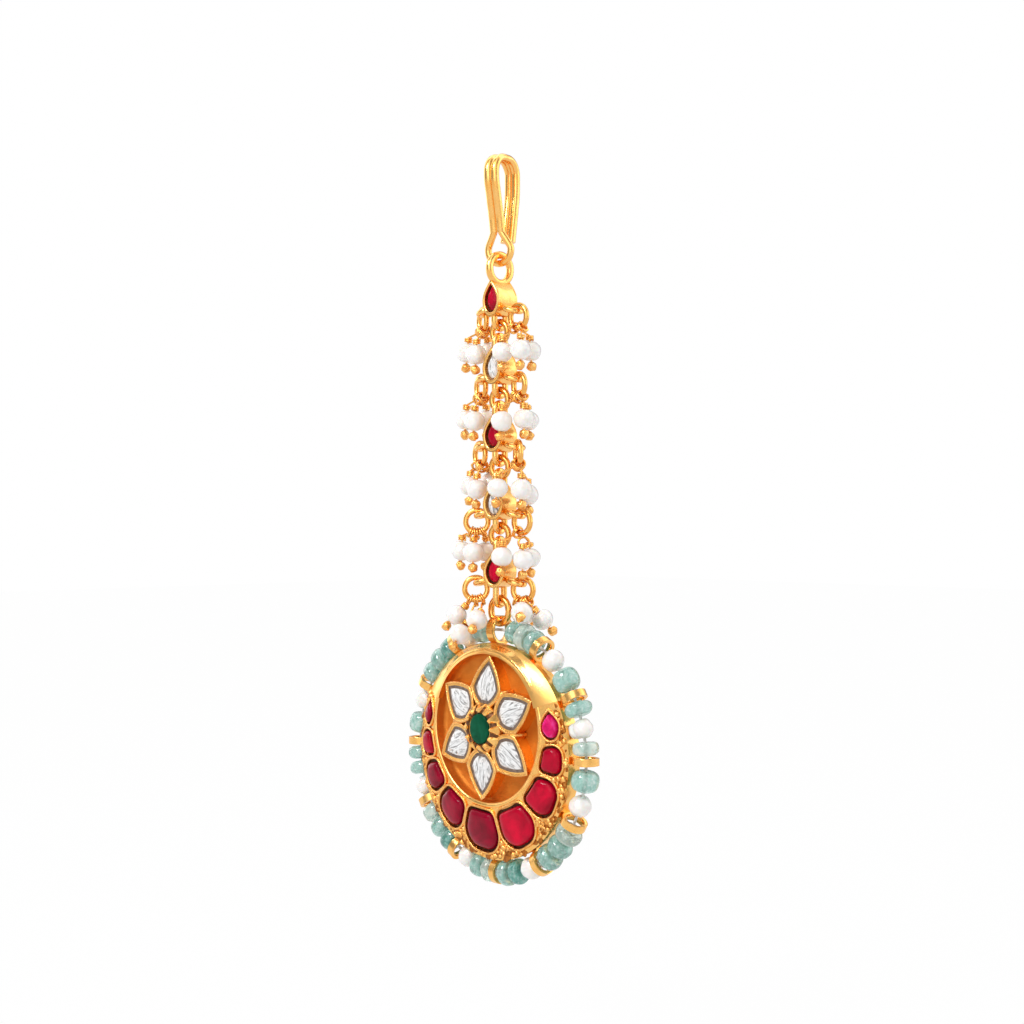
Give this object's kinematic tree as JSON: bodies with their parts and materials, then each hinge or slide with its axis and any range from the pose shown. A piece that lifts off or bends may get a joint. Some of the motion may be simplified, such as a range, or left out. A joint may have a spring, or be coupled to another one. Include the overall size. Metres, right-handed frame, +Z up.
{
  "type": "maang tikka",
  "caption": "Hair ornament that hangs from a hook: a chain of jewelled collets with pearl drops carries a round stone-set pendant rimmed with beads.",
  "frame": {"origin": "inside top of the hair hook's bend, where the piece hangs", "axes": "+Z up along the hanging chain, -Y the front that shows the stones, +X the wearer's left"},
  "size_m": [0.038, 0.012, 0.104],
  "materials": {
    "gold": "polished yellow gold, satin in the dish",
    "ruby": "polished, foil-backed deep red",
    "clear_stone": "faceted, foil-backed clear",
    "green_stone": "polished deep green",
    "aqua_stone": "polished translucent aqua green",
    "pearl": "lustrous white",
    "thread": "white silk thread"
  },
  "bodies": {
    "chain": {"hair_hook": "gold", "collet_1": "gold", "collet_stones_1": "ruby", "drop_pins_1": "gold", "drop_pearls_1": "pearl", "collet_2": "gold", "collet_stones_2": "clear_stone", "drop_pins_2": "gold", "drop_pearls_2": "pearl", "collet_3": "gold", "collet_stones_3": "ruby", "drop_pins_3": "gold", "drop_pearls_3": "pearl", "collet_4": "gold", "collet_stones_4": "clear_stone", "drop_pins_4": "gold", "drop_pearls_4": "pearl", "collet_5": "gold", "collet_stones_5": "ruby", "drop_pins_5": "gold", "drop_pearls_5": "pearl", "chain_link_1": "gold", "chain_link_2": "gold", "chain_link_3": "gold", "chain_link_4": "gold", "pendant_link": "gold", "drop_rings_left": "gold", "drop_rings_right": "gold"},
    "pendant": {"pendant_frame": "gold", "ruby_1": "ruby", "ruby_2": "ruby", "ruby_3": "ruby", "ruby_4": "ruby", "ruby_5": "ruby", "ruby_6": "ruby", "ruby_7": "ruby", "ruby_8": "ruby", "ruby_9": "ruby", "petal_stone_1": "clear_stone", "petal_stone_2": "clear_stone", "petal_stone_3": "clear_stone", "petal_stone_4": "clear_stone", "petal_stone_5": "clear_stone", "petal_stone_6": "clear_stone", "centre_stone": "green_stone", "rim_thread": "thread", "aqua_beads_01": "aqua_stone", "aqua_beads_02": "aqua_stone", "aqua_beads_03": "aqua_stone", "aqua_beads_04": "aqua_stone", "aqua_beads_05": "aqua_stone", "aqua_beads_06": "aqua_stone", "aqua_beads_07": "aqua_stone", "aqua_beads_08": "aqua_stone", "aqua_beads_09": "aqua_stone", "aqua_beads_10": "aqua_stone", "aqua_beads_11": "aqua_stone", "aqua_beads_12": "aqua_stone", "rim_pearls": "pearl"}
  },
  "joints": [
    {"name": "pendant_swing", "type": "hinge", "parent": "chain", "child": "pendant", "pos_m": [0, 0, -0.06578], "axis": [1, 0, 0], "range_deg": [-12, 12]}
  ]
}
